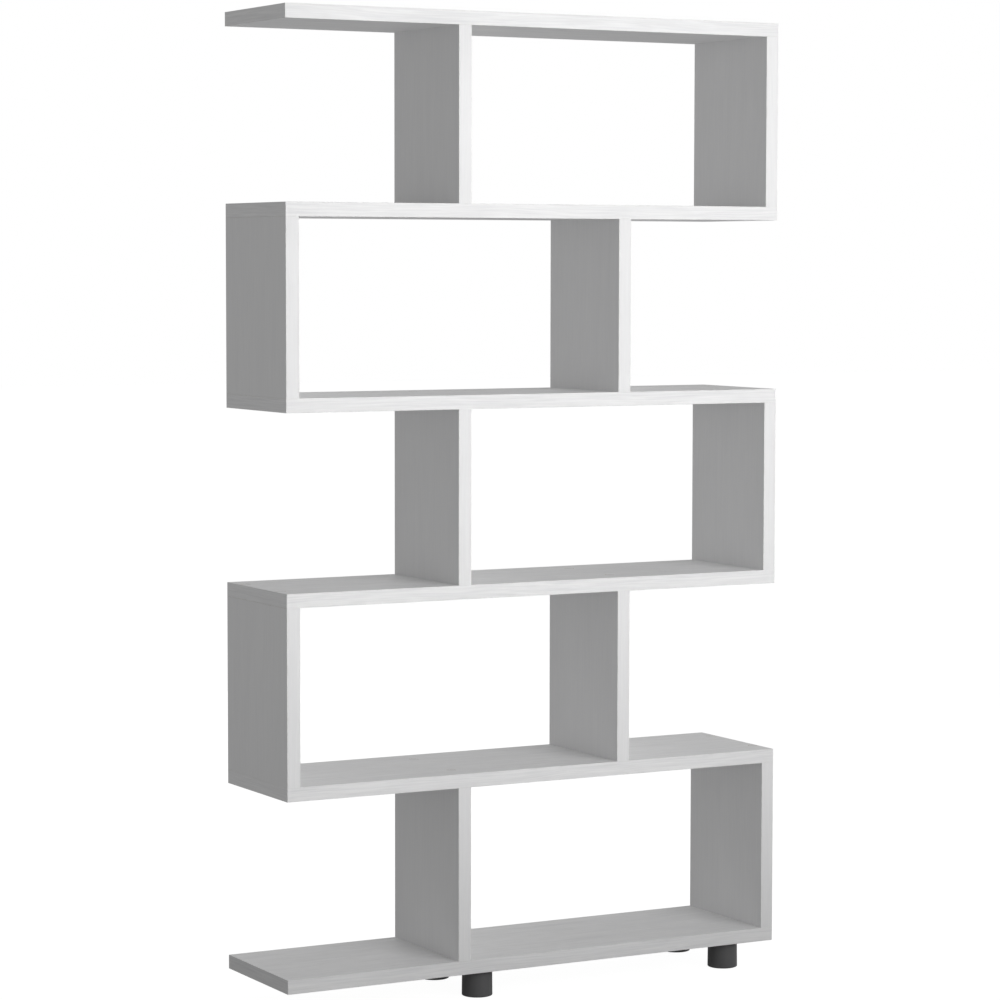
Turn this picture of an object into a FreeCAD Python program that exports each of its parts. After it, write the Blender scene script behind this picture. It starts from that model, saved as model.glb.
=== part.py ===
# Open shelving unit of staggered boxes: six full-width boards, ten uprights and four levelling feet.
# Millimetres, +Z up. The front faces -Y, and +X is to the right seen from the front.
# The origin lies on the floor, under the middle of the unit's outline.
import FreeCAD, Part
import math
import os
from collections import namedtuple
from FreeCAD import Vector

# Carcass
WIDTH = 720.0  # every horizontal board, over its end bands
DEPTH = 180.0  # every board and upright, over its front and rear bands
BOARD_THICKNESS = 18.0  # faced chipboard, the same for boards and uprights
TIER_COUNT = 5
TIER_CLEAR_HEIGHT = 224.0  # from the top of one board to the underside of the next
LEFT_BAY_WIDTH = 241.0  # open bay left of the inner upright, on the odd tiers
RIGHT_BAY_WIDTH = 226.0  # open bay right of the inner upright, on the even tiers

# Edge bands
BAND_THICKNESS = 1.0
BAND_LAND = 0.7  # flat left beside the board, before the outer edge is rounded off
BAND_HAIRLINE = 0.05  # joint between two bands at a corner of a board

# Connector screws, driven through a board into the end of an upright
SCREW_EDGE_DISTANCE = 37.0  # screw axis, in from the front and the rear
SCREW_LENGTH = 50.0
SCREW_DIAMETER = 7.0
SCREW_HEAD_OVERHANG = 1.5  # how far the countersunk head reaches past the shank
SCREW_HEAD_HEIGHT = 3.0
SCREW_POINT_DIAMETER = 3.0
SCREW_POINT_LENGTH = 4.0
SCREW_SOCKET_ACROSS_FLATS = 4.0
SCREW_SOCKET_DEPTH = 2.6

# Caps over the screw heads, flush with the board
CAP_THICKNESS = 1.6
CAP_LIP = 1.0  # how far the cap reaches past the screw head
CAP_ARRIS = 0.3

# Dowels, one in the middle of each joint
DOWEL_DIAMETER = 8.0
DOWEL_LENGTH = 30.0
DOWEL_CHAMFER = 1.0
DOWEL_COVER = 6.0  # board left beyond the dowel's blind hole

# Levelling feet
FOOT_HEIGHT = 35.0
FOOT_DIAMETER = 40.0  # at the base
FOOT_DRAFT = 0.4  # how far the side leans in, from base to top
FOOT_BASE_ROUND = 1.6
FOOT_EDGE_DISTANCE = 30.0  # foot axis, in from the front and the rear
LEFT_FOOT_DISTANCE = 25.0  # axis of the left-hand feet, right of the lowest inner upright
RIGHT_FOOT_DISTANCE = 60.0  # axis of the right-hand feet, in from the right-hand end
BOLT_DIAMETER = 8.0
BOLT_TIP_CHAMFER = 1.0
BOLT_HEAD_OVERHANG = 2.5  # from the shank to the head's flats
BOLT_HEAD_HEIGHT = 5.3
BOLT_HEAD_RECESS = 2.0  # the head stays this far above the floor
INSERT_WALL = 1.8
INSERT_COVER = 3.0  # board left above the insert's blind hole

# Clearances
FIT_CLEARANCE = 0.1  # around a fixed fastener in its hole
THREAD_CLEARANCE = 0.2  # around a foot bolt in its insert
END_CLEARANCE = 0.5  # past the end of a fastener in a blind hole

# Places that follow from the sizes above
RIGHT_END = WIDTH / 2
LEFT_END = -RIGHT_END
REAR = DEPTH / 2
FRONT = -REAR
TIER_PITCH = BOARD_THICKNESS + TIER_CLEAR_HEIGHT
LEFT_INNER_X = LEFT_END + LEFT_BAY_WIDTH + BOARD_THICKNESS / 2
RIGHT_INNER_X = RIGHT_END - RIGHT_BAY_WIDTH - BOARD_THICKNESS / 2
LEFT_END_X = LEFT_END + BOARD_THICKNESS / 2
RIGHT_END_X = RIGHT_END - BOARD_THICKNESS / 2
LEFT_FEET_X = LEFT_INNER_X + BOARD_THICKNESS / 2 + LEFT_FOOT_DISTANCE
RIGHT_FEET_X = RIGHT_END - RIGHT_FOOT_DISTANCE
BAND_ARRIS_RADIUS = BAND_THICKNESS - BAND_LAND
SCREW_PLACES_Y = (FRONT + SCREW_EDGE_DISTANCE, REAR - SCREW_EDGE_DISTANCE)
DOWEL_Y = (FRONT + REAR) / 2
SCREW_HEAD_DIAMETER = SCREW_DIAMETER + 2 * SCREW_HEAD_OVERHANG
CAP_DIAMETER = SCREW_HEAD_DIAMETER + 2 * CAP_LIP
BOLT_HEAD_ACROSS_FLATS = BOLT_DIAMETER + 2 * BOLT_HEAD_OVERHANG
INSERT_BORE = BOLT_DIAMETER + 2 * THREAD_CLEARANCE
INSERT_DIAMETER = INSERT_BORE + 2 * INSERT_WALL
INSERT_LENGTH = BOARD_THICKNESS - INSERT_COVER - END_CLEARANCE
AXES = (Vector(1, 0, 0), Vector(0, 1, 0), Vector(0, 0, 1))
TO_FRONT = Vector(0, -1, 0)
TO_REAR = Vector(0, 1, 0)
TO_LEFT = Vector(-1, 0, 0)
TO_RIGHT = Vector(1, 0, 0)
FEET = {
    "front_left": (LEFT_FEET_X, FRONT + FOOT_EDGE_DISTANCE),
    "rear_left": (LEFT_FEET_X, REAR - FOOT_EDGE_DISTANCE),
    "front_right": (RIGHT_FEET_X, FRONT + FOOT_EDGE_DISTANCE),
    "rear_right": (RIGHT_FEET_X, REAR - FOOT_EDGE_DISTANCE),
}

# An upright stands in a tier, counted from 1 at the floor, with its middle plane at x.
Upright = namedtuple("Upright", "name tier x")
# A joint ties one end of an upright to a board. Its fasteners are driven upwards or downwards.
Joint = namedtuple("Joint", "board upright upwards")


def uprights():
    """Odd tiers close their box at the right-hand end of the unit, even tiers at the left-hand end."""
    found = []
    for tier in range(1, TIER_COUNT + 1):
        odd = tier % 2 == 1
        inner_x, end_x = (LEFT_INNER_X, RIGHT_END_X) if odd else (RIGHT_INNER_X, LEFT_END_X)
        found.append(Upright(f"tier_{tier}_inner_upright", tier, inner_x))
        found.append(Upright(f"tier_{tier}_end_upright", tier, end_x))
    return found


def joints():
    """Both ends of each upright: it stands on board number tier - 1, under board number tier."""
    found = []
    for upright in uprights():
        found.append(Joint(upright.tier - 1, upright, True))
        found.append(Joint(upright.tier, upright, False))
    return found


def board_name(board):
    """The boards are numbered from 0, at the bottom, to TIER_COUNT, at the top."""
    if board == 0:
        return "bottom_board"
    return "top_board" if board == TIER_COUNT else f"shelf_board_{board}"


def underside(board):
    """Height of a board's lower face."""
    return FOOT_HEIGHT + board * TIER_PITCH


def box(low, high):
    """A box between two opposite corners."""
    size = high - low
    return Part.makeBox(size.x, size.y, size.z, low)


def turned(profile):
    """A solid of revolution about Z from a profile of (radius, height) points that closes on the axis."""
    points = [Vector(radius, 0, height) for radius, height in profile]
    return Part.Face(Part.makePolygon(points + points[:1])).revolve(Vector(), Vector(0, 0, 1), 360)


def hexagon_prism(across_flats, low, high):
    """A hexagonal prism on the Z axis, between two heights."""
    corner = across_flats / 2 / math.cos(math.radians(30))
    angles = [math.radians(60 * step) for step in range(7)]
    points = [Vector(corner * math.cos(a), corner * math.sin(a), low) for a in angles]
    return Part.Face(Part.makePolygon(points)).extrude(Vector(0, 0, high - low))


def rounded_band(low, high, glued_side, ends_show):
    """An edge band with its arrises rounded, apart from those round the face that is glued to the board.

    glued_side points from the band to the board. Where the ends don't show, they stay square.
    """
    blank = box(low, high)
    middle = (low + high) / 2
    length_axis = max(AXES, key=(high - low).dot)
    band = blank
    for axis in AXES if ends_show else (length_axis,):
        outer = []
        for edge in blank.Edges:
            along = edge.Vertexes[1].Point - edge.Vertexes[0].Point
            on_glued_face = (edge.CenterOfMass - middle).dot(glued_side) > BAND_LAND / 2
            if along.cross(axis).Length < BAND_LAND and not on_glued_face:
                outer.append(edge)
        band = band.common(blank.makeFillet(BAND_ARRIS_RADIUS, outer))
    return band


def board_core(board):
    """A horizontal board without its bands."""
    low = Vector(LEFT_END + BAND_THICKNESS, FRONT + BAND_THICKNESS, underside(board))
    high = Vector(RIGHT_END - BAND_THICKNESS, REAR - BAND_THICKNESS, underside(board) + BOARD_THICKNESS)
    return box(low, high)


def board_bands(board):
    """Bands round a board: the front and rear ones cover the ends of the two short ones."""
    bottom = underside(board)
    top = bottom + BOARD_THICKNESS
    inner_front = FRONT + BAND_THICKNESS
    inner_rear = REAR - BAND_THICKNESS
    inner_left = LEFT_END + BAND_THICKNESS
    inner_right = RIGHT_END - BAND_THICKNESS
    end_from = inner_front + BAND_HAIRLINE
    end_to = inner_rear - BAND_HAIRLINE
    front = Vector(LEFT_END, FRONT, bottom), Vector(RIGHT_END, inner_front, top)
    rear = Vector(LEFT_END, inner_rear, bottom), Vector(RIGHT_END, REAR, top)
    left = Vector(LEFT_END, end_from, bottom), Vector(inner_left, end_to, top)
    right = Vector(inner_right, end_from, bottom), Vector(RIGHT_END, end_to, top)
    return [
        rounded_band(*front, TO_REAR, True),
        rounded_band(*rear, TO_FRONT, True),
        rounded_band(*left, TO_RIGHT, False),
        rounded_band(*right, TO_LEFT, False),
    ]


def upright_span(upright):
    """Lower and upper corner of an upright over its bands."""
    bottom = underside(upright.tier) - TIER_CLEAR_HEIGHT
    low = Vector(upright.x - BOARD_THICKNESS / 2, FRONT, bottom)
    high = Vector(upright.x + BOARD_THICKNESS / 2, REAR, bottom + TIER_CLEAR_HEIGHT)
    return low, high


def upright_core(upright):
    """An upright without its bands."""
    low, high = upright_span(upright)
    band = Vector(0, BAND_THICKNESS, 0)
    return box(low + band, high - band)


def upright_bands(upright):
    """Bands on the front and rear of an upright, square at the boards that they meet."""
    low, high = upright_span(upright)
    front_high = Vector(high.x, FRONT + BAND_THICKNESS, high.z)
    rear_low = Vector(low.x, REAR - BAND_THICKNESS, low.z)
    return [
        rounded_band(low, front_high, TO_REAR, False),
        rounded_band(rear_low, high, TO_FRONT, False),
    ]


# Fasteners are modelled pointing up, with the face of the board that they are driven through at height 0.


def connector_screw():
    """A countersunk screw with a hexagon socket, its head one cap's thickness below the face."""
    tip = CAP_THICKNESS + SCREW_LENGTH
    body = turned([
        (0, CAP_THICKNESS),
        (SCREW_HEAD_DIAMETER / 2, CAP_THICKNESS),
        (SCREW_DIAMETER / 2, CAP_THICKNESS + SCREW_HEAD_HEIGHT),
        (SCREW_DIAMETER / 2, tip - SCREW_POINT_LENGTH),
        (SCREW_POINT_DIAMETER / 2, tip),
        (0, tip),
    ])
    socket_end = CAP_THICKNESS + SCREW_SOCKET_DEPTH
    return body.cut(hexagon_prism(SCREW_SOCKET_ACROSS_FLATS, CAP_THICKNESS, socket_end))


def screw_hole():
    """Counterbore for the cap, countersink for the head and a hole for the shank on into the upright."""
    shank = SCREW_DIAMETER / 2 + FIT_CLEARANCE
    end = CAP_THICKNESS + SCREW_LENGTH + END_CLEARANCE
    return turned([
        (0, -END_CLEARANCE),
        (CAP_DIAMETER / 2 + FIT_CLEARANCE, -END_CLEARANCE),
        (CAP_DIAMETER / 2 + FIT_CLEARANCE, CAP_THICKNESS),
        (SCREW_HEAD_DIAMETER / 2 + FIT_CLEARANCE, CAP_THICKNESS),
        (shank, CAP_THICKNESS + SCREW_HEAD_HEIGHT),
        (shank, end),
        (0, end),
    ])


def screw_cap():
    """A flush disc on the screw head, with a peg in its socket."""
    peg = SCREW_SOCKET_ACROSS_FLATS / 2 - FIT_CLEARANCE
    peg_end = CAP_THICKNESS + SCREW_SOCKET_DEPTH - END_CLEARANCE
    return turned([
        (0, 0),
        (CAP_DIAMETER / 2 - CAP_ARRIS, 0),
        (CAP_DIAMETER / 2, CAP_ARRIS),
        (CAP_DIAMETER / 2, CAP_THICKNESS),
        (peg, CAP_THICKNESS),
        (peg, peg_end),
        (0, peg_end),
    ])


def dowel():
    """A chamfered wooden dowel, short of the end of its blind hole in the board."""
    start = DOWEL_COVER + END_CLEARANCE
    end = start + DOWEL_LENGTH
    radius = DOWEL_DIAMETER / 2
    return turned([
        (0, start),
        (radius - DOWEL_CHAMFER, start),
        (radius, start + DOWEL_CHAMFER),
        (radius, end - DOWEL_CHAMFER),
        (radius - DOWEL_CHAMFER, end),
        (0, end),
    ])


def dowel_hole():
    """The blind holes of a dowel in board and upright, in line."""
    length = DOWEL_LENGTH + 2 * END_CLEARANCE
    return Part.makeCylinder(DOWEL_DIAMETER / 2 + FIT_CLEARANCE, length, Vector(0, 0, DOWEL_COVER))


def driven(fastener, joint, y):
    """A copy of a fastener in its joint, from under the board or turned over and from above it."""
    copy = fastener.copy()
    face = underside(joint.board)
    if not joint.upwards:
        copy.rotate(Vector(), Vector(1, 0, 0), 180)
        face += BOARD_THICKNESS
    copy.translate(Vector(joint.upright.x, y, face))
    return copy


def holes_for(joint_list):
    """What the fasteners of these joints take out of the boards and uprights that they join."""
    tools = []
    for joint in joint_list:
        tools += [driven(screw_hole(), joint, y) for y in SCREW_PLACES_Y]
        tools.append(driven(dowel_hole(), joint, DOWEL_Y))
    return tools


def foot():
    """A round foot with a slight draft, bored for its bolt, with a pocket for the bolt's head."""
    base_radius = FOOT_DIAMETER / 2
    body = Part.makeCone(base_radius, base_radius - FOOT_DRAFT, FOOT_HEIGHT)
    base_edges = [edge for edge in body.Edges if edge.BoundBox.ZMax < FOOT_BASE_ROUND]
    body = body.makeFillet(FOOT_BASE_ROUND, base_edges)
    bore = Part.makeCylinder(BOLT_DIAMETER / 2 + FIT_CLEARANCE, FOOT_HEIGHT)
    pocket_width = BOLT_HEAD_ACROSS_FLATS + 2 * FIT_CLEARANCE
    pocket = hexagon_prism(pocket_width, 0, BOLT_HEAD_RECESS + BOLT_HEAD_HEIGHT)
    return body.cut([bore, pocket])


def foot_bolt():
    """A hexagon bolt up through the foot, as long as its insert allows with the foot against the board."""
    head_top = BOLT_HEAD_RECESS + BOLT_HEAD_HEIGHT
    tip = FOOT_HEIGHT + INSERT_LENGTH
    radius = BOLT_DIAMETER / 2
    head = hexagon_prism(BOLT_HEAD_ACROSS_FLATS, BOLT_HEAD_RECESS, head_top)
    shank = turned([
        (0, BOLT_HEAD_RECESS),
        (radius, BOLT_HEAD_RECESS),
        (radius, tip - BOLT_TIP_CHAMFER),
        (radius - BOLT_TIP_CHAMFER, tip),
        (0, tip),
    ])
    return head.fuse(shank).removeSplitter()


def insert_nut():
    """A sleeve in the underside of the bottom board, threaded for the foot bolt."""
    outer = Part.makeCylinder(INSERT_DIAMETER / 2, INSERT_LENGTH, Vector(0, 0, FOOT_HEIGHT))
    return outer.cut(Part.makeCylinder(INSERT_BORE / 2, INSERT_LENGTH, Vector(0, 0, FOOT_HEIGHT)))


def insert_hole():
    """The blind hole for an insert, open at the underside of the bottom board."""
    low = FOOT_HEIGHT - END_CLEARANCE
    high = FOOT_HEIGHT + INSERT_LENGTH + END_CLEARANCE
    return Part.makeCylinder(INSERT_DIAMETER / 2 + FIT_CLEARANCE, high - low, Vector(0, 0, low))


def at_foot(shape, place):
    """A copy of a shape on the Z axis, moved to a foot's axis."""
    x, y = FEET[place]
    return shape.translated(Vector(x, y, 0))


def write(node, solids):
    """One file per node: a single solid, or a group of separate ones."""
    shape = solids[0] if len(solids) == 1 else Part.makeCompound(solids)
    shape.exportStep(f"parts/{node}.step")


def write_boards():
    """Each board with its bands, and the screws, caps and dowels that are driven through it."""
    for board in range(TIER_COUNT + 1):
        here = [joint for joint in joints() if joint.board == board]
        screw_places = [(joint, y) for joint in here for y in SCREW_PLACES_Y]
        holes = holes_for(here)
        if board == 0:
            holes += [at_foot(insert_hole(), place) for place in FEET]
        name = board_name(board)
        write(name, [board_core(board).cut(holes)])
        write(f"{name}_edge_bands", board_bands(board))
        write(f"{name}_screws", [driven(connector_screw(), *place) for place in screw_places])
        write(f"{name}_screw_caps", [driven(screw_cap(), *place) for place in screw_places])
        write(f"{name}_dowels", [driven(dowel(), joint, DOWEL_Y) for joint in here])


def write_uprights():
    """Each upright with its bands."""
    for upright in uprights():
        here = [joint for joint in joints() if joint.upright == upright]
        write(upright.name, [upright_core(upright).cut(holes_for(here))])
        write(f"{upright.name}_edge_bands", upright_bands(upright))


def write_feet():
    """Each foot with its bolt, and the inserts as one group."""
    for place in FEET:
        write(f"{place}_foot", [at_foot(foot(), place)])
        write(f"{place}_foot_bolt", [at_foot(foot_bolt(), place)])
    write("foot_insert_nuts", [at_foot(insert_nut(), place) for place in FEET])


os.makedirs("parts", exist_ok=True)
write_boards()
write_uprights()
write_feet()
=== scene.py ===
import math
from functools import reduce
from inspect import signature

import bmesh
import bpy
from bpy.props import FloatProperty, FloatVectorProperty, IntProperty, PointerProperty
from bpy.types import Operator, Panel, PropertyGroup
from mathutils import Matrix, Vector


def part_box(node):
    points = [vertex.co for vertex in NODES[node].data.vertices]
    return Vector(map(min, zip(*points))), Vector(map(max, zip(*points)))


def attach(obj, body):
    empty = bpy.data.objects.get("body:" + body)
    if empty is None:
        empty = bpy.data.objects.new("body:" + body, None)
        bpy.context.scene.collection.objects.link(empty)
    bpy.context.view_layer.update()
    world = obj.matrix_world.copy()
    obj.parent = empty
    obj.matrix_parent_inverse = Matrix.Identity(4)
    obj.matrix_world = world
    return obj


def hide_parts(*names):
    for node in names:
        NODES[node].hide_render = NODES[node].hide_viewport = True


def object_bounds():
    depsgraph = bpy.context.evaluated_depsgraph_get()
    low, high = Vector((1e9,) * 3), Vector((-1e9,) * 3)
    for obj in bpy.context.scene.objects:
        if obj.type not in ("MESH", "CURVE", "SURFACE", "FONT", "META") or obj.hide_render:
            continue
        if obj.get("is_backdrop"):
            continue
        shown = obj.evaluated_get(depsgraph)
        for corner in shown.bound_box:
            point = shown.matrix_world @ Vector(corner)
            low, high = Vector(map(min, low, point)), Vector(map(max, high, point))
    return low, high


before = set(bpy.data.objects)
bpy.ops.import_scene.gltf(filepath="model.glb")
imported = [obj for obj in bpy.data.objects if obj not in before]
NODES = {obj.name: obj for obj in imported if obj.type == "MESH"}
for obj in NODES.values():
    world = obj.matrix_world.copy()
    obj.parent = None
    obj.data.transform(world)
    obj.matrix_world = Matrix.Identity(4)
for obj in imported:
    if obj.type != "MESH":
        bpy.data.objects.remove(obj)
CAD_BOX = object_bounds()

bl_info = {
    "name": "Staggered Shelving Unit",
    "version": (1, 0, 0),
    "blender": (4, 5, 0),
    "location": "3D View > Sidebar > Shelving",
    "description": "Dresses a shelving unit of staggered boxes and sets it in a plain studio",
    "category": "Object",
}


def extent_of(box):
    """Width, depth and height of a box, which is given by its lowest and highest corner."""
    return box[1] - box[0]


def middle_of(box):
    """The middle of a box."""
    return (box[0] + box[1]) / 2


def base_of(box):
    """The middle of a box's underside."""
    middle = middle_of(box)
    return Vector((middle.x, middle.y, box[0].z))


# Names and places read from the frame. Lengths are in metres.
CARCASS = "carcass"
BOARDS = [name.removesuffix("_screws") for name in NODES if name.endswith("_screws")]
UPRIGHTS = [name for name in NODES if name.endswith("_upright")]
FOOT_PLACES = [name.removesuffix("_foot") for name in NODES if name.endswith("_foot")]
FLOOR_LEVEL = CAD_BOX[0].z
MIDDLE = middle_of(CAD_BOX)
HALF = extent_of(CAD_BOX) / 2
BOTTOM_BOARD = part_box("bottom_board")
BAND_THICKNESS = BOTTOM_BOARD[0].y - CAD_BOX[0].y
BOARD_THICKNESS = extent_of(BOTTOM_BOARD).z
PLACE_DIGITS = 5
BOARD_HEIGHTS = sorted({round(middle_of(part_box(name)).z, PLACE_DIGITS) for name in BOARDS})
UPRIGHT_PLACES = sorted({round(middle_of(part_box(name)).x, PLACE_DIGITS) for name in UPRIGHTS})

SHARP_ANGLE = math.radians(35)
MERGE_DISTANCE = 1e-6
UPSIDE_DOWN = (math.pi, 0.0, 0.0)
UPRIGHT_WAY = (0.0, 0.0, 0.0)


def setting_of(kind, **limits):
    """A function that makes one kind of setting from its name, description and default."""

    def make(name, description, default):
        return kind(name=name, description=description, default=default, **limits)

    return make


metres = setting_of(FloatProperty, min=0.0, precision=5, unit="LENGTH")
share = setting_of(FloatProperty, min=0.0, max=1.0, subtype="FACTOR")
brightness = setting_of(FloatProperty, min=0.0)
watts = setting_of(FloatProperty, min=0.0, unit="POWER")
turning = setting_of(FloatProperty, subtype="ANGLE")
focal_length = setting_of(FloatProperty, unit="CAMERA")
count = setting_of(IntProperty, min=6)
colour = setting_of(FloatVectorProperty, min=0.0, max=1.0, size=3, subtype="COLOR")
point = setting_of(FloatVectorProperty, size=3, subtype="TRANSLATION", unit="LENGTH")


class FinishSettings(PropertyGroup):
    """Colours and surface sizes of the finishes."""

    facing_white: colour("Facing", "White of the facing, between its grain lines", (0.92, 0.92, 0.92))
    facing_shade: colour("Facing grain", "Tone of the facing's grain lines", (0.80, 0.80, 0.807))
    band_white: colour("Edge band", "White of the edge bands", (0.93, 0.93, 0.93))
    band_shade: colour("Edge band grain", "Tone of the edge bands' grain lines", (0.805, 0.805, 0.812))
    band_rub: colour("Rubbed edge", "Tone of the edge bands' rubbed arrises", (0.79, 0.785, 0.775))
    dust_grey: colour("Dust", "Colour of the dust on faces that look up", (0.62, 0.60, 0.57))
    cap_white: colour("Screw cap", "White of the moulded screw caps", (0.80, 0.80, 0.795))
    chip_light: colour("Light chips", "Lighter chips of the boards' core", (0.56, 0.42, 0.27))
    chip_dark: colour("Dark chips", "Darker chips of the boards' core", (0.30, 0.20, 0.11))
    foot_black: colour("Foot", "Colour of the moulded feet", (0.115, 0.115, 0.117))
    foot_scuff: colour("Foot scuffs", "Colour of rubbed places on the feet", (0.165, 0.164, 0.162))
    zinc_bright: colour("Zinc", "Bright zinc plating", (0.66, 0.67, 0.69))
    zinc_dull: colour("Dull zinc", "Zinc plating where it has dulled", (0.44, 0.45, 0.47))
    beech_light: colour("Beech", "Light wood of the dowels", (0.62, 0.42, 0.25))
    beech_dark: colour("Beech flecks", "Dark flecks in the dowels", (0.40, 0.23, 0.11))
    board_grain: share("Board grain", "Strength of the grain on the boards", 1.0)
    upright_grain: share("Upright grain", "Strength of the grain on the uprights", 0.35)
    grain_run: metres("Grain run", "Length of a grain line in the facing", 0.080)
    grain_width: metres("Grain width", "Width of a grain line in the facing", 0.0022)
    grain_depth: metres("Grain depth", "Depth of the embossed grain", 0.00006)
    rub_width: metres("Rub width", "How far in from its edges a band is rubbed", 0.003)
    facing_roughness: share("Facing roughness", "Roughness of a clean facing", 0.42)


class FastenerSettings(PropertyGroup):
    """Sizes of the connector screws, dowels, foot bolts, insert nuts and feet."""

    screw_head_height: metres("Head height", "Height of a screw's countersunk head", 0.003)
    screw_head_diameter: metres("Head diameter", "Width of a screw's head", 0.010)
    screw_collar_length: metres("Collar length", "Head and plain collar of a screw", 0.0135)
    screw_thread: metres("Screw thread", "Outer diameter of a screw's thread", 0.007)
    screw_root: metres("Screw root", "Diameter between a screw's threads", 0.0048)
    screw_pitch: metres("Screw pitch", "From thread to thread on a screw", 0.003)
    screw_point_diameter: metres("Point diameter", "Width of a screw's blunt point", 0.003)
    screw_point_length: metres("Point length", "Length of a screw's point", 0.004)
    screw_socket: metres("Screw socket", "Hexagon socket of a screw, across its flats", 0.004)
    screw_socket_depth: metres("Socket depth", "Depth of a screw's socket", 0.0026)
    dowel_chamfer: metres("Dowel chamfer", "Chamfer on the ends of a dowel", 0.001)
    dowel_flute_depth: metres("Flute depth", "Depth of a dowel's glue flutes", 0.0003)
    dowel_flutes: count("Flutes", "Glue flutes round a dowel", 24)
    bolt_thread: metres("Bolt thread", "Outer diameter of a foot bolt's thread", 0.008)
    bolt_pitch: metres("Bolt pitch", "From thread to thread on a foot bolt", 0.00125)
    bolt_head_height: metres("Bolt head", "Height of a foot bolt's hexagon head", 0.0053)
    bolt_head_width: metres("Bolt head width", "Foot bolt's head, across its flats", 0.013)
    bolt_tip_chamfer: metres("Bolt tip", "Chamfer on the tip of a foot bolt", 0.001)
    insert_bore: metres("Insert bore", "Bore of an insert nut", 0.0084)
    insert_pitch: metres("Insert pitch", "From thread to thread outside an insert nut", 0.003)
    insert_thread_depth: metres("Insert thread", "Depth of the thread outside an insert nut", 0.0011)
    foot_draft: metres("Foot draft", "How far a foot's side leans in from base to top", 0.0004)
    foot_base_round: metres("Foot base round", "Radius round the base of a foot", 0.0016)
    foot_top_arris: metres("Foot top arris", "Rounding of a foot's upper edge", 0.0004)
    foot_bore: metres("Foot bore", "Bore of a foot for its bolt", 0.0082)
    foot_pocket: metres("Foot pocket", "Pocket for a bolt's head, across its flats", 0.0132)
    foot_pocket_depth: metres("Pocket depth", "Depth of the pocket in a foot's underside", 0.0073)


class StudioSettings(PropertyGroup):
    """Camera, lights and floor."""

    camera_place: point("Camera", "Where the camera stands", (-2.11418, -3.83828, 0.94714))
    camera_turn: turning("Camera turn", "Turn of the camera about the vertical", math.radians(-28.7239))
    camera_dip: turning("Camera dip", "How far the camera looks down", math.radians(4.0551))
    camera_roll: turning("Camera roll", "Lean of the camera about its line of sight", math.radians(-0.0792))
    lens: focal_length("Lens", "Focal length on a 36 mm sensor", 120.776)
    room_light: brightness("Room light", "Strength of the even light all round", 0.312)
    front_width: metres("Front width", "Width of the two strip lights in front", 2.2)
    key_place: point("Key light", "Where the main strip light in front stands", (0.7, -2.4, 1.35))
    key_power: watts("Key power", "Power of the main strip light in front", 9.41)
    key_height: metres("Key height", "Height of the main strip light in front", 0.8)
    low_place: point("Low light", "Where the strip light near the floor stands", (0.7, -2.4, 0.55))
    low_power: watts("Low power", "Power of the strip light near the floor", 0.66)
    low_height: metres("Low height", "Height of the strip light near the floor", 0.3)
    top_place: point("Top light", "Where the soft light high up behind hangs", (0.6, 2.2, 2.4))
    top_power: watts("Top power", "Power of the soft light high up behind", 5.85)
    top_size: metres("Top size", "Width of the soft light high up behind", 1.5)
    rear_place: point("Rear light", "Where the soft light behind stands", (0.3, 3.0, 0.45))
    rear_power: watts("Rear power", "Power of the soft light behind", 20.0)
    side_place: point("Side light", "Where the soft light at the right stands", (3.0, 0.3, 0.45))
    side_power: watts("Side power", "Power of the soft light at the right", 30.0)
    outer_size: metres("Outer size", "Width of the lights behind and at the right", 2.0)
    floor_white: colour("Floor", "Colour of the studio floor", (0.12, 0.12, 0.12))
    floor_glow: brightness("Floor glow", "How bright the lit floor looks", 0.965)
    # The floor's glow on the unit is painted bounce light, dimmer near the unit as painted shade of the unit
    # on the floor.
    floor_lift: brightness("Floor lift", "How much the lit floor gives to the unit", 0.295)
    floor_near: share("Floor near", "Share of its lift that the floor gives at the unit", 0.35)
    floor_reach: metres("Floor reach", "How far from the unit the floor gives its full lift", 0.8)
    floor_size: metres("Floor size", "Length of the floor's sides", 40.0)


# Node trees

SHADER_TREE = "ShaderNodeTree"
SHAPE_TREE = "GeometryNodeTree"

# Kinds of the group inputs that take anything but a plain number
PLAIN_NUMBER = "NodeSocketFloat"
SOCKET_KINDS = {
    "vector": "NodeSocketVector",
    "normal": "NodeSocketVector",
    "light": "NodeSocketColor",
    "dark": "NodeSocketColor",
    "flutes": "NodeSocketInt",
    "sides": "NodeSocketInt",
    "rows": "NodeSocketInt",
    "points": "NodeSocketGeometry",
    "material": "NodeSocketMaterial",
}


def feed(target, value):
    """Links a field to an input, or sets the input to a plain value. A plain colour gets full cover."""
    if isinstance(value, Field):
        target.id_data.links.new(value.socket, target)
    elif target.type == "RGBA":
        target.default_value = (*value, 1.0)
    else:
        target.default_value = value


def new_node(tree, kind, inputs=None, **settings):
    """Adds a node with its own settings, and feeds its inputs by name or by number."""
    made = tree.nodes.new(kind)
    for name, value in settings.items():
        setattr(made, name, value)
    for name, value in (inputs or {}).items():
        feed(made.inputs[name], value)
    return made


def add(tree, kind, output, inputs=None, **settings):
    """Adds a node, and gives one of its outputs as a field."""
    return Field(tree, new_node(tree, kind, inputs, **settings).outputs[output])


def outputs_of(node):
    """All that a node puts out, as fields by name."""
    return {socket.name: Field(node.id_data, socket) for socket in node.outputs}


def arithmetic(operation):
    """A way to work with fields that adds one kind of Math node."""
    return lambda field, *others: field.math(operation, *others)


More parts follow.
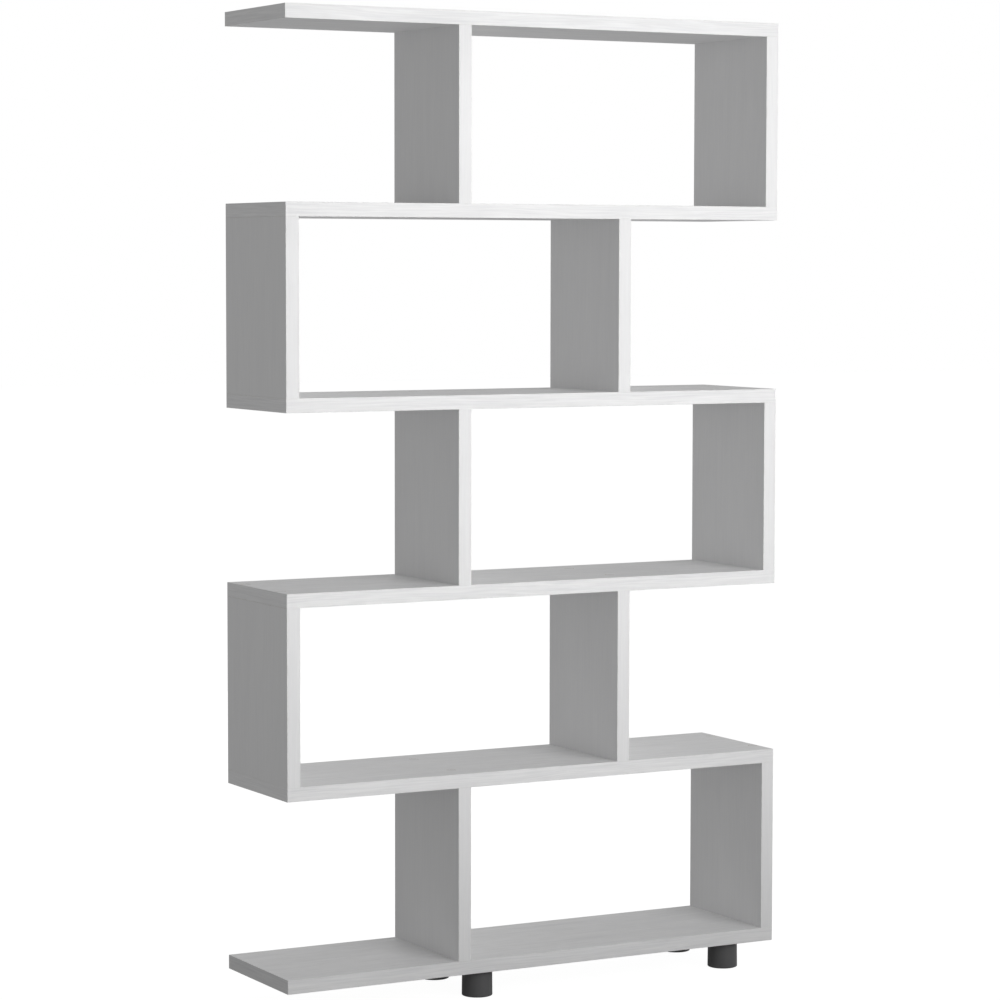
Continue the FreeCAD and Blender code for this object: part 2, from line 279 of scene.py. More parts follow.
class Field:
    """A value, vector, colour or shape in a node tree. Working with it adds nodes to the tree."""

    def __init__(self, tree, socket):
        self.tree = tree
        self.socket = socket

    def math(self, operation, *others, clamp=False):
        inputs = dict(enumerate((self, *others)))
        return add(self.tree, "ShaderNodeMath", "Value", inputs, operation=operation, use_clamp=clamp)

    __add__ = arithmetic("ADD")
    __sub__ = arithmetic("SUBTRACT")
    __mul__ = arithmetic("MULTIPLY")
    __truediv__ = arithmetic("DIVIDE")
    below = arithmetic("LESS_THAN")
    above = arithmetic("GREATER_THAN")
    least = arithmetic("MINIMUM")
    most = arithmetic("MAXIMUM")
    absolute = arithmetic("ABSOLUTE")
    root = arithmetic("SQRT")

    def clamped(self):
        return self.math("ADD", 0.0, clamp=True)

    def rest(self):
        """What the field leaves of 1."""
        return self * -1.0 + 1.0

    def spread(self, low, high, to_low=0.0, to_high=1.0):
        """Runs from to_low to to_high while the field goes from low to high, and stops there."""
        inputs = {"Value": self, "From Min": low, "From Max": high, "To Min": to_low, "To Max": to_high}
        return add(self.tree, "ShaderNodeMapRange", "Result", inputs)

    def mix(self, first, second):
        """A colour that runs from first to second as the field goes from 0 to 1."""
        made = new_node(self.tree, "ShaderNodeMix", {"Factor": self}, data_type="RGBA")
        ends = [socket for socket in made.inputs if socket.type == "RGBA"]
        for target, value in zip(ends, (first, second)):
            feed(target, value)
        return Field(self.tree, next(socket for socket in made.outputs if socket.type == "RGBA"))

    def part(self, axis):
        """One of the three parts of a vector."""
        return add(self.tree, "ShaderNodeSeparateXYZ", axis, {"Vector": self})

    def vector_math(self, operation, other):
        """Two vectors added, multiplied or divided, part by part."""
        return add(self.tree, "ShaderNodeVectorMath", "Vector", {0: self, 1: other}, operation=operation)

    def turned(self, turn):
        """A vector turned about the origin."""
        return add(self.tree, "ShaderNodeMapping", "Vector", {"Vector": self, "Rotation": turn})

    def noise(self, scale, detail=2.0, roughness=0.5, distortion=0.0, output="Fac"):
        """Noise from 0 to 1 at a vector. Its scale is in lumps per metre, for all axes or for each."""
        if isinstance(scale, tuple):
            return self.vector_math("MULTIPLY", scale).noise(1.0, detail, roughness, distortion, output)
        inputs = {"Vector": self, "Scale": scale, "Detail": detail, "Roughness": roughness}
        return add(self.tree, "ShaderNodeTexNoise", output, inputs | {"Distortion": distortion})


def socket_name(word):
    """The socket's name for a word of the script."""
    return word.replace("_", " ").capitalize()


def shared_group(build, kind):
    """A builder's node group, made when first needed. Its sockets are what the builder takes and gives."""
    tree = bpy.data.node_groups.get(build.__name__)
    if tree:
        return tree
    tree = bpy.data.node_groups.new(build.__name__, kind)
    words = list(signature(build).parameters)
    for word in words:
        socket_type = SOCKET_KINDS.get(word, PLAIN_NUMBER)
        tree.interface.new_socket(socket_name(word), in_out="INPUT", socket_type=socket_type)
    given = outputs_of(tree.nodes.new("NodeGroupInput"))
    made = build(*(given[socket_name(word)] for word in words))
    for name, field in made.items():
        tree.interface.new_socket(name, in_out="OUTPUT", socket_type=field.socket.bl_idname)
    new_node(tree, "NodeGroupOutput", made)
    return tree


# Shader groups that several finishes share

# Wood print: its bends and their reach, figure and pores beside its lines, and the noise that makes them
BENDS_PER_METRE = 5.0
BEND_REACH = (0.0, 0.012, 0.012)
FIGURE_SCALE = (0.4, 0.13, 0.13)
PORE_SCALE = (6.0, 3.5, 3.5)
LINE_SHARE = 0.75
PORE_DEPTH = 0.35
TONE_RANGE = (0.34, 0.66)
PORE_RANGE = (0.60, 0.70)

# Marks, dust, rubbed spots, chips and moulded skin: how many to a metre, and the noise that makes them
SMUDGES_PER_METRE = 11.0
SMUDGE_RANGE = (0.40, 0.68)
SCRATCHES_PER_METRE = (22.0, 2400.0, 2400.0)
SCRATCH_RANGE = (0.74, 0.80)
SCRATCH_TURN = (0.5, 0.9, 0.6)
DUST_PER_METRE = 38.0
DUST_RANGE = (0.38, 0.74)
LOOKING_UP = (0.6, 0.95)
RUBS_PER_METRE = 75.0
RUB_RANGE = (0.44, 0.66)
CHIPS_PER_METRE = 420.0
PITS_PER_METRE = 2600.0
PATCHES_PER_METRE = 70.0


def wood_print(vector, run, width):
    """Printed and embossed wood figure that runs along the X axis of its vector."""
    wander = vector.noise(BENDS_PER_METRE, detail=1.0, output="Color").vector_math("MULTIPLY", BEND_REACH)
    cell = add(vector.tree, "ShaderNodeCombineXYZ", "Vector", {"X": run, "Y": width, "Z": width})
    along = vector.vector_math("ADD", wander).vector_math("DIVIDE", cell)
    lines = along.noise(1.0, detail=3.0, roughness=0.6)
    figure = along.noise(FIGURE_SCALE, distortion=0.3)
    pores = along.noise(PORE_SCALE).spread(*PORE_RANGE)
    tone = lines * LINE_SHARE + figure * (1.0 - LINE_SHARE)
    return {"Tone": tone.spread(*TONE_RANGE), "Relief": tone - pores * PORE_DEPTH}


def handling_marks(vector):
    """Smudges that dull a surface here and there, and a few fine scratches."""
    lumps = vector.noise(SMUDGES_PER_METRE, detail=4.0, roughness=0.6, distortion=0.4)
    smudge = lumps.spread(*SMUDGE_RANGE)
    thin = vector.turned(SCRATCH_TURN).noise(SCRATCHES_PER_METRE, detail=1.0)
    return {"Smudge": smudge, "Scratches": thin.spread(*SCRATCH_RANGE) * smudge}


def settled_dust(vector, normal):
    """A thin uneven film on faces that look up."""
    film = vector.noise(DUST_PER_METRE, detail=5.0, roughness=0.65).spread(*DUST_RANGE)
    return {"Dust": film * normal.part("Z").spread(*LOOKING_UP)}


def edge_rub(vector, distance, width):
    """Rubbed spots along an arris, by the distance from it."""
    near = (distance / width).spread(0.0, 1.0, 1.0, 0.0)
    spots = vector.noise(RUBS_PER_METRE, detail=5.0, roughness=0.7).spread(*RUB_RANGE)
    return {"Rub": near * near * spots}


def chipboard_core(vector, light, dark):
    """Pressed chips, seen where a board has no facing."""
    inputs = {"Vector": vector, "Scale": CHIPS_PER_METRE}
    chips = outputs_of(new_node(vector.tree, "ShaderNodeTexVoronoi", inputs))
    lightness = add(vector.tree, "ShaderNodeSeparateColor", "Red", {"Color": chips["Color"]})
    return {"Colour": lightness.mix(dark, light), "Relief": chips["Distance"]}


def moulded_skin(vector):
    """The fine pitted skin that a spark-eroded mould leaves on plastic."""
    pits = vector.noise(PITS_PER_METRE, roughness=0.6)
    return {"Relief": pits, "Patches": vector.noise(PATCHES_PER_METRE, detail=4.0, roughness=0.6)}


# Finishes

ALONG_WIDTH = (0.0, 0.0, 0.0)
ALONG_DEPTH = (0.0, 0.0, math.pi / 2)
ALONG_HEIGHT = (0.0, math.pi / 2, 0.0)

# Dust's share of a colour, the raw core's roughness, depths beside the grain's, and when a face is faced
DUST_COVER = 0.10
CORE_DULLNESS = 0.4
SCRATCH_DEPTH = 0.25
CHIP_DEPTH = 6.0
SQUARELY = 0.5

# What smudges, dust and rubbing change in a roughness, and how a band's surface differs from the facing's
FACING_SMUDGE = 0.07
FACING_DUST = 0.12
BAND_SMUDGE = 0.08
BAND_DUST = 0.10
BAND_POLISH = 0.10
BAND_SMOOTHNESS = 0.04
BAND_DEPTH = 0.8
BAND_WEAR = 0.6

# Plastic: shade, patches, roughness and depth of the skins, and the scuffs that reach up from the floor
CAP_SHADE = 0.96
PATCH_RANGE = (0.3, 0.7)
CAP_GLOSS = (0.40, 0.52)
CAP_DUST = 0.10
CAP_SKIN_DEPTH = 0.00002
FOOT_GLOSS = (0.30, 0.40)
FOOT_SKIN_DEPTH = 0.00003
SCUFF_RANGE = (0.52, 0.68)
SCUFF_REACH = 0.012
SCUFF_COVER = 0.5
SCUFF_DULLNESS = 0.25

# Zinc and beech: their patterns per metre, the noise that makes them, and their shares, roughness and depth
SPANGLES_PER_METRE = 900.0
SPANGLE_RANGE = (0.35, 0.65)
SPANGLE_SHARE = 0.5
PLATING_PER_METRE = 3200.0
PLATING_DEPTH = 0.00001
ZINC_GLOSS = (0.24, 0.46)
YEARS_PER_METRE = (20.0, 700.0, 700.0)
YEAR_RANGE = (0.3, 0.7)
YEAR_SHARE = 0.4
FLECKS_PER_METRE = (420.0, 3200.0, 3200.0)
FLECK_RANGE = (0.60, 0.70)
FLECK_DEPTH = 0.5
BEECH_DEPTH = 0.00005
BEECH_GLOSS = (0.58, 0.72)


def bare_tree(owner):
    """The node tree of a material or a world, emptied."""
    owner.use_nodes = True
    owner.node_tree.nodes.clear()
    return owner.node_tree


class Surface:
    """A material in the making: its coordinates, and its shader with the constant inputs set on it."""

    def __init__(self, name, **constants):
        self.material = bpy.data.materials.new(name)
        self.tree = bare_tree(self.material)
        inputs = {key.replace("_", " "): value for key, value in constants.items()}
        self.shader = new_node(self.tree, "ShaderNodeBsdfPrincipled", inputs)
        new_node(self.tree, "ShaderNodeOutputMaterial", {"Surface": outputs_of(self.shader)["BSDF"]})
        coordinates = outputs_of(self.tree.nodes.new("ShaderNodeTexCoord"))
        self.place = coordinates["Object"]
        self.normal = coordinates["Normal"]

    def group(self, build, **inputs):
        """What a shared group puts out here."""
        inputs = {"Vector": self.place, **inputs}
        shared = shared_group(build, SHADER_TREE)
        return outputs_of(new_node(self.tree, "ShaderNodeGroup", inputs, node_tree=shared))

    def finished(self, tone, gloss, relief, depth):
        """The material, once its shader has a colour, a roughness and a relief of some depth in metres."""
        bump = {"Height": relief, "Distance": depth, "Strength": 1.0}
        feed(self.shader.inputs["Base Color"], tone)
        feed(self.shader.inputs["Roughness"], gloss)
        feed(self.shader.inputs["Normal"], add(self.tree, "ShaderNodeBump", "Normal", bump))
        return self.material


def grain(surface, finish, turn, strength):
    """Tone and relief of the wood print, turned so that it runs along a piece."""
    along = surface.place.turned(turn)
    figure = surface.group(wood_print, Vector=along, Run=finish.grain_run, Width=finish.grain_width)
    return figure["Tone"] * strength + (1.0 - strength) / 2, figure["Relief"]


def from_nearest(place, axis, centres):
    """Distance along an axis from the nearest of several centres."""
    along = place.part(axis)
    return reduce(Field.least, [(along - centre).absolute() for centre in centres])


def dusted(surface, finish, clean):
    """A clean colour under its dust, and how thick the dust lies."""
    film = surface.group(settled_dust, Normal=surface.normal)["Dust"]
    return (film * DUST_COVER).mix(clean, finish.dust_grey), film


def facing_finish(name, finish, turn, strength, faced_axis):
    """White facing with an embossed grain, and raw chipboard on the faces that have none."""
    surface = Surface(name, Specular_IOR_Level=0.45)
    tone, relief = grain(surface, finish, turn, strength)
    marks = surface.group(handling_marks)
    core = surface.group(chipboard_core, Light=finish.chip_light, Dark=finish.chip_dark)
    faced = surface.normal.part(faced_axis).absolute().above(SQUARELY)
    dusty, film = dusted(surface, finish, tone.mix(finish.facing_shade, finish.facing_white))
    gloss = marks["Smudge"] * FACING_SMUDGE + film * FACING_DUST + finish.facing_roughness
    gloss = gloss + faced.rest() * CORE_DULLNESS
    relief = (relief - marks["Scratches"] * SCRATCH_DEPTH) * faced
    relief = relief + core["Relief"] * faced.rest() * CHIP_DEPTH
    return surface.finished(faced.mix(core["Colour"], dusty), gloss, relief, finish.grain_depth)


def band_finish(name, finish, turn, strength, axis, centres, end_turn=None):
    """Edge band with the grain along it and rubbed arrises. A board's end bands have a turn of their own."""
    surface = Surface(name, Specular_IOR_Level=0.5)
    tone, relief = grain(surface, finish, turn, strength)
    if end_turn is not None:
        outermost = from_nearest(surface.place, "X", [MIDDLE.x]).above(HALF.x - BAND_THICKNESS)
        at_end = outermost * from_nearest(surface.place, "Y", [MIDDLE.y]).below(HALF.y - BAND_THICKNESS)
        end_tone, end_relief = grain(surface, finish, end_turn, strength)
        tone = tone + (end_tone - tone) * at_end
        relief = relief + (end_relief - relief) * at_end
    marks = surface.group(handling_marks)
    from_edge = from_nearest(surface.place, axis, centres) * -1.0 + BOARD_THICKNESS / 2
    rub = surface.group(edge_rub, Distance=from_edge, Width=finish.rub_width)["Rub"]
    printed = tone.mix(finish.band_shade, finish.band_white)
    dusty, film = dusted(surface, finish, rub.mix(printed, finish.band_rub))
    gloss = marks["Smudge"] * BAND_SMUDGE + film * BAND_DUST - rub * BAND_POLISH
    gloss = gloss + (finish.facing_roughness - BAND_SMOOTHNESS)
    relief = (relief - marks["Scratches"] * SCRATCH_DEPTH) * (rub * -BAND_WEAR + 1.0)
    return surface.finished(dusty, gloss, relief, finish.grain_depth * BAND_DEPTH)


def cap_finish(name, finish):
    """White moulded plastic, a little duller than the facing round it."""
    surface = Surface(name, Specular_IOR_Level=0.5)
    skin = surface.group(moulded_skin)
    shade = [strength * CAP_SHADE for strength in finish.cap_white]
    dusty, film = dusted(surface, finish, skin["Patches"].mix(shade, finish.cap_white))
    gloss = skin["Patches"].spread(*PATCH_RANGE, *CAP_GLOSS) + film * CAP_DUST
    return surface.finished(dusty, gloss, skin["Relief"], CAP_SKIN_DEPTH)


def foot_finish(name, finish):
    """Near-black moulded plastic, scuffed a little towards the floor."""
    surface = Surface(name, Specular_IOR_Level=0.5)
    skin = surface.group(moulded_skin)
    scratches = surface.group(handling_marks)["Scratches"]
    low = surface.place.part("Z").spread(FLOOR_LEVEL, FLOOR_LEVEL + SCUFF_REACH, 1.0, 0.0)
    scuffs = (skin["Patches"].spread(*SCUFF_RANGE) * low + scratches).clamped() * SCUFF_COVER
    gloss = skin["Patches"].spread(*PATCH_RANGE, *FOOT_GLOSS) + scuffs * SCUFF_DULLNESS
    tone = scuffs.mix(finish.foot_black, finish.foot_scuff)
    return surface.finished(tone, gloss, skin["Relief"], FOOT_SKIN_DEPTH)


def zinc_finish(name, finish):
    """Zinc-plated steel, dull in patches."""
    surface = Surface(name, Metallic=1.0)
    smudge = surface.group(handling_marks)["Smudge"]
    spangle = surface.place.noise(SPANGLES_PER_METRE, detail=3.0, roughness=0.6).spread(*SPANGLE_RANGE)
    dull = (spangle * SPANGLE_SHARE + smudge * (1.0 - SPANGLE_SHARE)).clamped()
    tone = dull.mix(finish.zinc_bright, finish.zinc_dull)
    plating = surface.place.noise(PLATING_PER_METRE)
    return surface.finished(tone, dull.spread(0.0, 1.0, *ZINC_GLOSS), plating, PLATING_DEPTH)


def beech_finish(name, finish):
    """Beech with short dark flecks along the dowel."""
    surface = Surface(name, Specular_IOR_Level=0.35)
    along = surface.place.turned(ALONG_HEIGHT)
    years = along.noise(YEARS_PER_METRE, detail=3.0)
    flecks = along.noise(FLECKS_PER_METRE, detail=1.0).spread(*FLECK_RANGE)
    dark = (years.spread(*YEAR_RANGE) * YEAR_SHARE + flecks * (1.0 - YEAR_SHARE)).clamped()
    tone = dark.mix(finish.beech_light, finish.beech_dark)
    relief = years - flecks * FLECK_DEPTH
    return surface.finished(tone, dark.spread(0.0, 1.0, *BEECH_GLOSS), relief, BEECH_DEPTH)


def dress(nodes, material):
    """Gives CAD pieces a finish in place of the one that they came with."""
    for name in nodes:
        NODES[name].material_slots[0].material = material


# Shapes made by Geometry Nodes

# Faces round a shape, rows of faces up it or to a turn of its thread, and points across a dowel's flute
SCREW_SIDES = 24
SCREW_ROWS_PER_TURN = 8
FLUTE_POINTS = 4
DOWEL_ROWS = 3
FOOT_SIDES = 96
FOOT_ROWS = 88
BOLT_SIDES = 32
BOLT_ROWS_PER_TURN = 6
HEAD_SIDES = 48
HEAD_ROWS = 12
INSERT_SIDES = 36
INSERT_ROWS_PER_TURN = 10
BORE_SIDES = 48

# A hexagon's flats beside its corner radius, a bore cutter's overrun, the cut of flat crests, a flange and a
# metric thread's depth beside the pitch, and a bolt head's corner, face and chamfer
HEXAGON_FLATS = 2 * math.cos(math.radians(30))
BORE_OVERRUN = 0.1
CREST_CUT = 1.3
INSERT_FLANGE = 0.3
BOLT_THREAD_DEPTH = 0.6134
HEAD_CORNER = 0.575
HEAD_FACE = 0.475
HEAD_SLOPE = math.tan(math.radians(60))


def rod(radius, height, sides, rows, law):
    """A closed round rod that stands on the origin. The law gives its radius from height and angle."""
    tree = radius.tree
    blank = add(tree, "GeometryNodeMeshCylinder", "Mesh", {
        "Vertices": sides, "Side Segments": rows, "Radius": radius, "Depth": height,
    }, fill_type="NGON")
    position = add(tree, "GeometryNodeInputPosition", "Position")
    x, y, z = (position.part(axis) for axis in "XYZ")
    width, lift = law(z + height * 0.5, y.math("ARCTAN2", x))
    swell = width / radius
    place = add(tree, "ShaderNodeCombineXYZ", "Vector", {"X": x * swell, "Y": y * swell, "Z": lift})
    return add(tree, "GeometryNodeSetPosition", "Geometry", {"Geometry": blank, "Position": place})


def through_bore(diameter, height):
    """A round cutter that goes past both ends of a standing shape."""

    def law(up, angle):
        return diameter * 0.5, up * (1.0 + 2 * BORE_OVERRUN) - height * BORE_OVERRUN

    return rod(diameter * 0.5, height, BORE_SIDES, 1, law)


def hexagon(across_flats, low, high):
    """A hexagonal prism on the Z axis between two heights."""
    tree = across_flats.tree
    prism = add(tree, "GeometryNodeMeshCylinder", "Mesh", {
        "Vertices": 6, "Radius": across_flats / HEXAGON_FLATS, "Depth": high - low,
    }, fill_type="NGON")
    middle = add(tree, "ShaderNodeCombineXYZ", "Vector", {"Z": (high + low) * 0.5})
    return add(tree, "GeometryNodeTransform", "Geometry", {"Geometry": prism, "Translation": middle})


def boolean(operation, first, *others):
    """The shapes put together, kept where they share room, or with the others cut out of the first."""
    made = new_node(first.tree, "GeometryNodeMeshBoolean", operation=operation, solver="EXACT")
    if operation == "DIFFERENCE":
        feed(made.inputs["Mesh 1"], first)
    else:
        others = (first, *others)
    for shape in others:
        feed(made.inputs["Mesh 2"], shape)
    return outputs_of(made)["Mesh"]


def threaded(up, angle, pitch, root, crest, start, end):
    """Radius of a thread that fades in after its start and out before its end."""
    wave = (up / pitch - angle / math.tau).math("PINGPONG", 0.5) * 2.0
    ridge = (wave * CREST_CUT).clamped()
    run_in = ((up - start) / pitch).clamped()
    run_out = ((end - up) / pitch).clamped()
    return (crest - root) * ridge * run_in * run_out + root


def set_on(points, shape, material):
    """A shape on every point, turned as the point says, as real geometry in its material."""
    tree = points.tree
    named = {"Name": "turn"}
    turn = add(tree, "GeometryNodeInputNamedAttribute", "Attribute", named, data_type="FLOAT_VECTOR")
    rotation = add(tree, "FunctionNodeEulerToRotation", "Rotation", {"Euler": turn})
    placed = add(tree, "GeometryNodeInstanceOnPoints", "Instances", {
        "Points": points, "Instance": shape, "Rotation": rotation,
    })
    real = add(tree, "GeometryNodeRealizeInstances", "Geometry", {"Geometry": placed})
    coated = add(tree, "GeometryNodeSetMaterial", "Geometry", {"Geometry": real, "Material": material})
    return {"Geometry": coated}


def connector_screw(
    points, length, head_diameter, head_height, collar_length, thread, root, pitch,
    point_diameter, point_length, socket, socket_depth, sides, rows, material,
):
    """A countersunk screw with a socket, a collar, a coarse thread and a blunt point. Its head is at 0."""
    full = thread * 0.5

    def law(up, angle):
        taper = (head_diameter - thread) * 0.5 / head_height
        cone = head_diameter * 0.5 - up * taper
        collar = up.below(collar_length) * full
        ridge = threaded(up, angle, pitch, root * 0.5, full, collar_length, length)
        slope = (thread - point_diameter) * 0.5 / point_length
        tip = point_diameter * 0.5 + (length - up) * slope
        return cone.most(collar).most(ridge).least(tip), up

    body = rod(full, length, sides, rows, law)
    hollow = hexagon(socket, socket_depth * -1.0, socket_depth)
    return set_on(points, boolean("DIFFERENCE", body, hollow), material)


def fluted_dowel(points, diameter, length, chamfer, flute_depth, flutes, sides, material):
    """A dowel with glue flutes along it. Of its rows of faces, the first and last are chamfers."""
    full = diameter * 0.5

    def law(up, angle):
        share_up = up / length
        end = chamfer / length
        lift = (share_up * DOWEL_ROWS - 1.0) * (end * -2.0 + 1.0) + end
        at_end = (share_up - 0.5).absolute().above(1 / DOWEL_ROWS)
        flute = ((angle * flutes).math("COSINE") * 0.5 + 0.5) * flute_depth
        return full - at_end * chamfer - flute, lift.clamped() * length

    return set_on(points, rod(full, length, sides, DOWEL_ROWS, law), material)


def foot_bolt(points, length, head_width, head_height, thread, pitch, tip_chamfer, sides, rows, material):
    """A hexagon bolt with a chamfered head and a fine thread to its tip. Its head stands on 0."""
    full = thread * 0.5
    root = full - pitch * BOLT_THREAD_DEPTH
    corner = head_width * HEAD_CORNER

    def shank_law(up, angle):
        ridge = threaded(up, angle, pitch, root, full, head_height, length)
        in_head = up.below(head_height) * full
        tip = full - tip_chamfer + (length - up)
        return ridge.most(in_head).least(tip), up

    def chamfer_law(up, angle):
        return (head_width * HEAD_FACE + up * HEAD_SLOPE).least(corner), up

    shank = rod(full, length, sides, rows, shank_law)
    blank = rod(corner, head_height, HEAD_SIDES, HEAD_ROWS, chamfer_law)
    head = boolean("INTERSECT", hexagon(head_width, 0.0, head_height), blank)
    return set_on(points, boolean("UNION", head, shank), material)


def insert_nut(points, length, diameter, bore, pitch, thread_depth, sides, rows, material):
    """A sleeve with a coarse wood thread outside and a plain bore. It stands on 0."""
    full = diameter * 0.5

    def law(up, angle):
        start = pitch * INSERT_FLANGE
        ridge = threaded(up, angle, pitch, full - thread_depth, full, start, length)
        return ridge.most(up.below(start) * full), up

    sleeve = rod(full, length, sides, rows, law)
    return set_on(points, boolean("DIFFERENCE", sleeve, through_bore(bore, length)), material)


def turned_foot(
    points, height, diameter, draft, base_round, top_arris, bore, pocket, pocket_depth,
    sides, rows, material,
):
    """A turned foot with a drafted side, a rounded base, and a bore and pocket for its bolt."""
    full = diameter * 0.5

    def law(up, angle):
        side = full - draft * (up / height)
        rise = (up / base_round).rest().clamped()
        round_in = base_round * (rise * rise).rest().root().rest()
        fall = ((up - height) / top_arris + 1.0).clamped()
        return side - round_in - top_arris * fall * fall, up

    body = rod(full, height, sides, rows, law)
    hollow = hexagon(pocket, pocket_depth * -1.0, pocket_depth)
    return set_on(points, boolean("DIFFERENCE", body, through_bore(bore, height), hollow), material)


def grow(name, build, places, sizes):
    """Sets a shape on places and keeps what that makes as a plain mesh. A place is a point and a turn."""
    tree = shared_group(build, SHAPE_TREE)
    seeds = bpy.data.meshes.new(name + "_places")
    seeds.from_pydata([spot for spot, turn in places], [], [])
    turns = seeds.attributes.new("turn", "FLOAT_VECTOR", "POINT")
    for item, (spot, turn) in zip(turns.data, places):
        item.vector = turn
    piece = bpy.data.objects.new(name, seeds)
    bpy.context.scene.collection.objects.link(piece)
    modifier = piece.modifiers.new("shape", "NODES")
    modifier.node_group = tree
    for socket in tree.interface.items_tree:
        if socket.in_out == "INPUT" and socket.name in sizes:
            modifier[socket.identifier] = sizes[socket.name]
    evaluated = piece.evaluated_get(bpy.context.evaluated_depsgraph_get())
    mesh = bpy.data.meshes.new_from_object(evaluated)
    piece.modifiers.remove(modifier)
    piece.data = mesh
    mesh.name = name
    bpy.data.meshes.remove(seeds)
    if "turn" in mesh.attributes:
        mesh.attributes.remove(mesh.attributes["turn"])
    if not mesh.polygons:
        raise RuntimeError(f"the shape of {name} came out empty")
    mesh.shade_smooth()
    mesh.set_sharp_from_angle(angle=SHARP_ANGLE)
    return piece


def solids_in(node):
    """The box of each separate solid of a CAD node."""
    copy = bmesh.new()
    copy.from_mesh(NODES[node].data)
    bmesh.ops.remove_doubles(copy, verts=copy.verts, dist=MERGE_DISTANCE)
    left = set(copy.verts)
    boxes = []
    while left:
        front = [left.pop()]
        island = list(front)
        while front:
            for edge in front.pop().link_edges:
                for vert in edge.verts:
                    if vert in left:
                        left.remove(vert)
                        front.append(vert)
                        island.append(vert)
        corners = list(zip(*(vert.co for vert in island)))
        boxes.append((Vector(map(min, corners)), Vector(map(max, corners))))
    copy.free()
    return sorted(boxes, key=lambda box: tuple(box[0]))


def driven_places(boxes, board):
    """Where the fasteners of a board start, and whether they point up or down from there."""
    board_middle = middle_of(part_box(board))
    places = []
    for low, high in boxes:
        middle = middle_of((low, high))
        upwards = middle.z > board_middle.z
        start = Vector((middle.x, middle.y, low.z if upwards else high.z))
        places.append((start, UPRIGHT_WAY if upwards else UPSIDE_DOWN))
    return places


def sizes_for(settings, prefix, **others):
    """The settings of one kind of piece and other sizes, by the names of its shape's sockets."""
    words = [word for word in settings.bl_rna.properties.keys() if word.startswith(prefix)]
    return {socket_name(word.removeprefix(prefix)): getattr(settings, word) for word in words} | others


def rows_for(sizes, per_turn):
    """How many rows of faces a thread needs."""
    return max(1, round(sizes["Length"] / sizes["Pitch"] * per_turn))


# Operators


class ShelvingOperator:
    """What the operators share."""

    bl_options = {"REGISTER", "UNDO"}


class SHELVING_OT_boards(ShelvingOperator, Operator):
    """Face the horizontal boards, with the grain along them"""

    bl_idname = "shelving.boards"
    bl_label = "Boards"

    def execute(self, context):
        finish = context.scene.shelving_finish
        facing = facing_finish("white_facing_along_boards", finish, ALONG_WIDTH, finish.board_grain, "Z")
        dress(BOARDS, facing)
        return {"FINISHED"}


class SHELVING_OT_uprights(ShelvingOperator, Operator):
    """Face the uprights, with the grain standing"""

    bl_idname = "shelving.uprights"
    bl_label = "Uprights"

    def execute(self, context):
        finish = context.scene.shelving_finish
        facing = facing_finish("white_facing_up_uprights", finish, ALONG_HEIGHT, finish.upright_grain, "X")
        dress(UPRIGHTS, facing)
        return {"FINISHED"}


class SHELVING_OT_edge_bands(ShelvingOperator, Operator):
    """Finish the edge bands, each with the grain along it"""

    bl_idname = "shelving.edge_bands"
    bl_label = "Edge bands"

    def execute(self, context):
        finish = context.scene.shelving_finish
        round_boards = band_finish(
            "white_band_round_boards", finish, ALONG_WIDTH, finish.board_grain, "Z", BOARD_HEIGHTS,
            end_turn=ALONG_DEPTH,
        )
        on_uprights = band_finish(
            "white_band_on_uprights", finish, ALONG_HEIGHT, finish.upright_grain, "X", UPRIGHT_PLACES
        )
        dress([f"{board}_edge_bands" for board in BOARDS], round_boards)
        dress([f"{upright}_edge_bands" for upright in UPRIGHTS], on_uprights)
        return {"FINISHED"}


class SHELVING_OT_screw_caps(ShelvingOperator, Operator):
    """Finish the caps over the screw heads"""

    bl_idname = "shelving.screw_caps"
    bl_label = "Screw caps"

    def execute(self, context):
        finish = context.scene.shelving_finish
        dress([f"{board}_screw_caps" for board in BOARDS], cap_finish("white_moulded_caps", finish))
        return {"FINISHED"}


class SHELVING_OT_connector_screws(ShelvingOperator, Operator):
    """Make the threaded connector screws of every board"""

    bl_idname = "shelving.connector_screws"
    bl_label = "Connector screws"

    def execute(self, context):
        zinc = zinc_finish("zinc_plated_screws", context.scene.shelving_finish)
        sizes = sizes_for(context.scene.shelving_fasteners, "screw_", Sides=SCREW_SIDES, Material=zinc)
        for board in BOARDS:
            node = f"{board}_screws"
            boxes = solids_in(node)
            sizes["Length"] = extent_of(boxes[0]).z
            sizes["Rows"] = rows_for(sizes, SCREW_ROWS_PER_TURN)
            piece = grow(f"{board}_connector_screws", connector_screw, driven_places(boxes, board), sizes)
            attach(piece, CARCASS)
            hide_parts(node)
        return {"FINISHED"}


class SHELVING_OT_dowels(ShelvingOperator, Operator):
    """Make the fluted dowels of every board"""

    bl_idname = "shelving.dowels"
    bl_label = "Dowels"

    def execute(self, context):
        beech = beech_finish("beech_dowels", context.scene.shelving_finish)
        sizes = sizes_for(context.scene.shelving_fasteners, "dowel_", Material=beech)
        sizes["Sides"] = sizes["Flutes"] * FLUTE_POINTS
        for board in BOARDS:
            node = f"{board}_dowels"
            boxes = solids_in(node)
            sizes["Diameter"], _, sizes["Length"] = extent_of(boxes[0])
            piece = grow(f"{board}_fluted_dowels", fluted_dowel, driven_places(boxes, board), sizes)
            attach(piece, CARCASS)
            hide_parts(node)
        return {"FINISHED"}


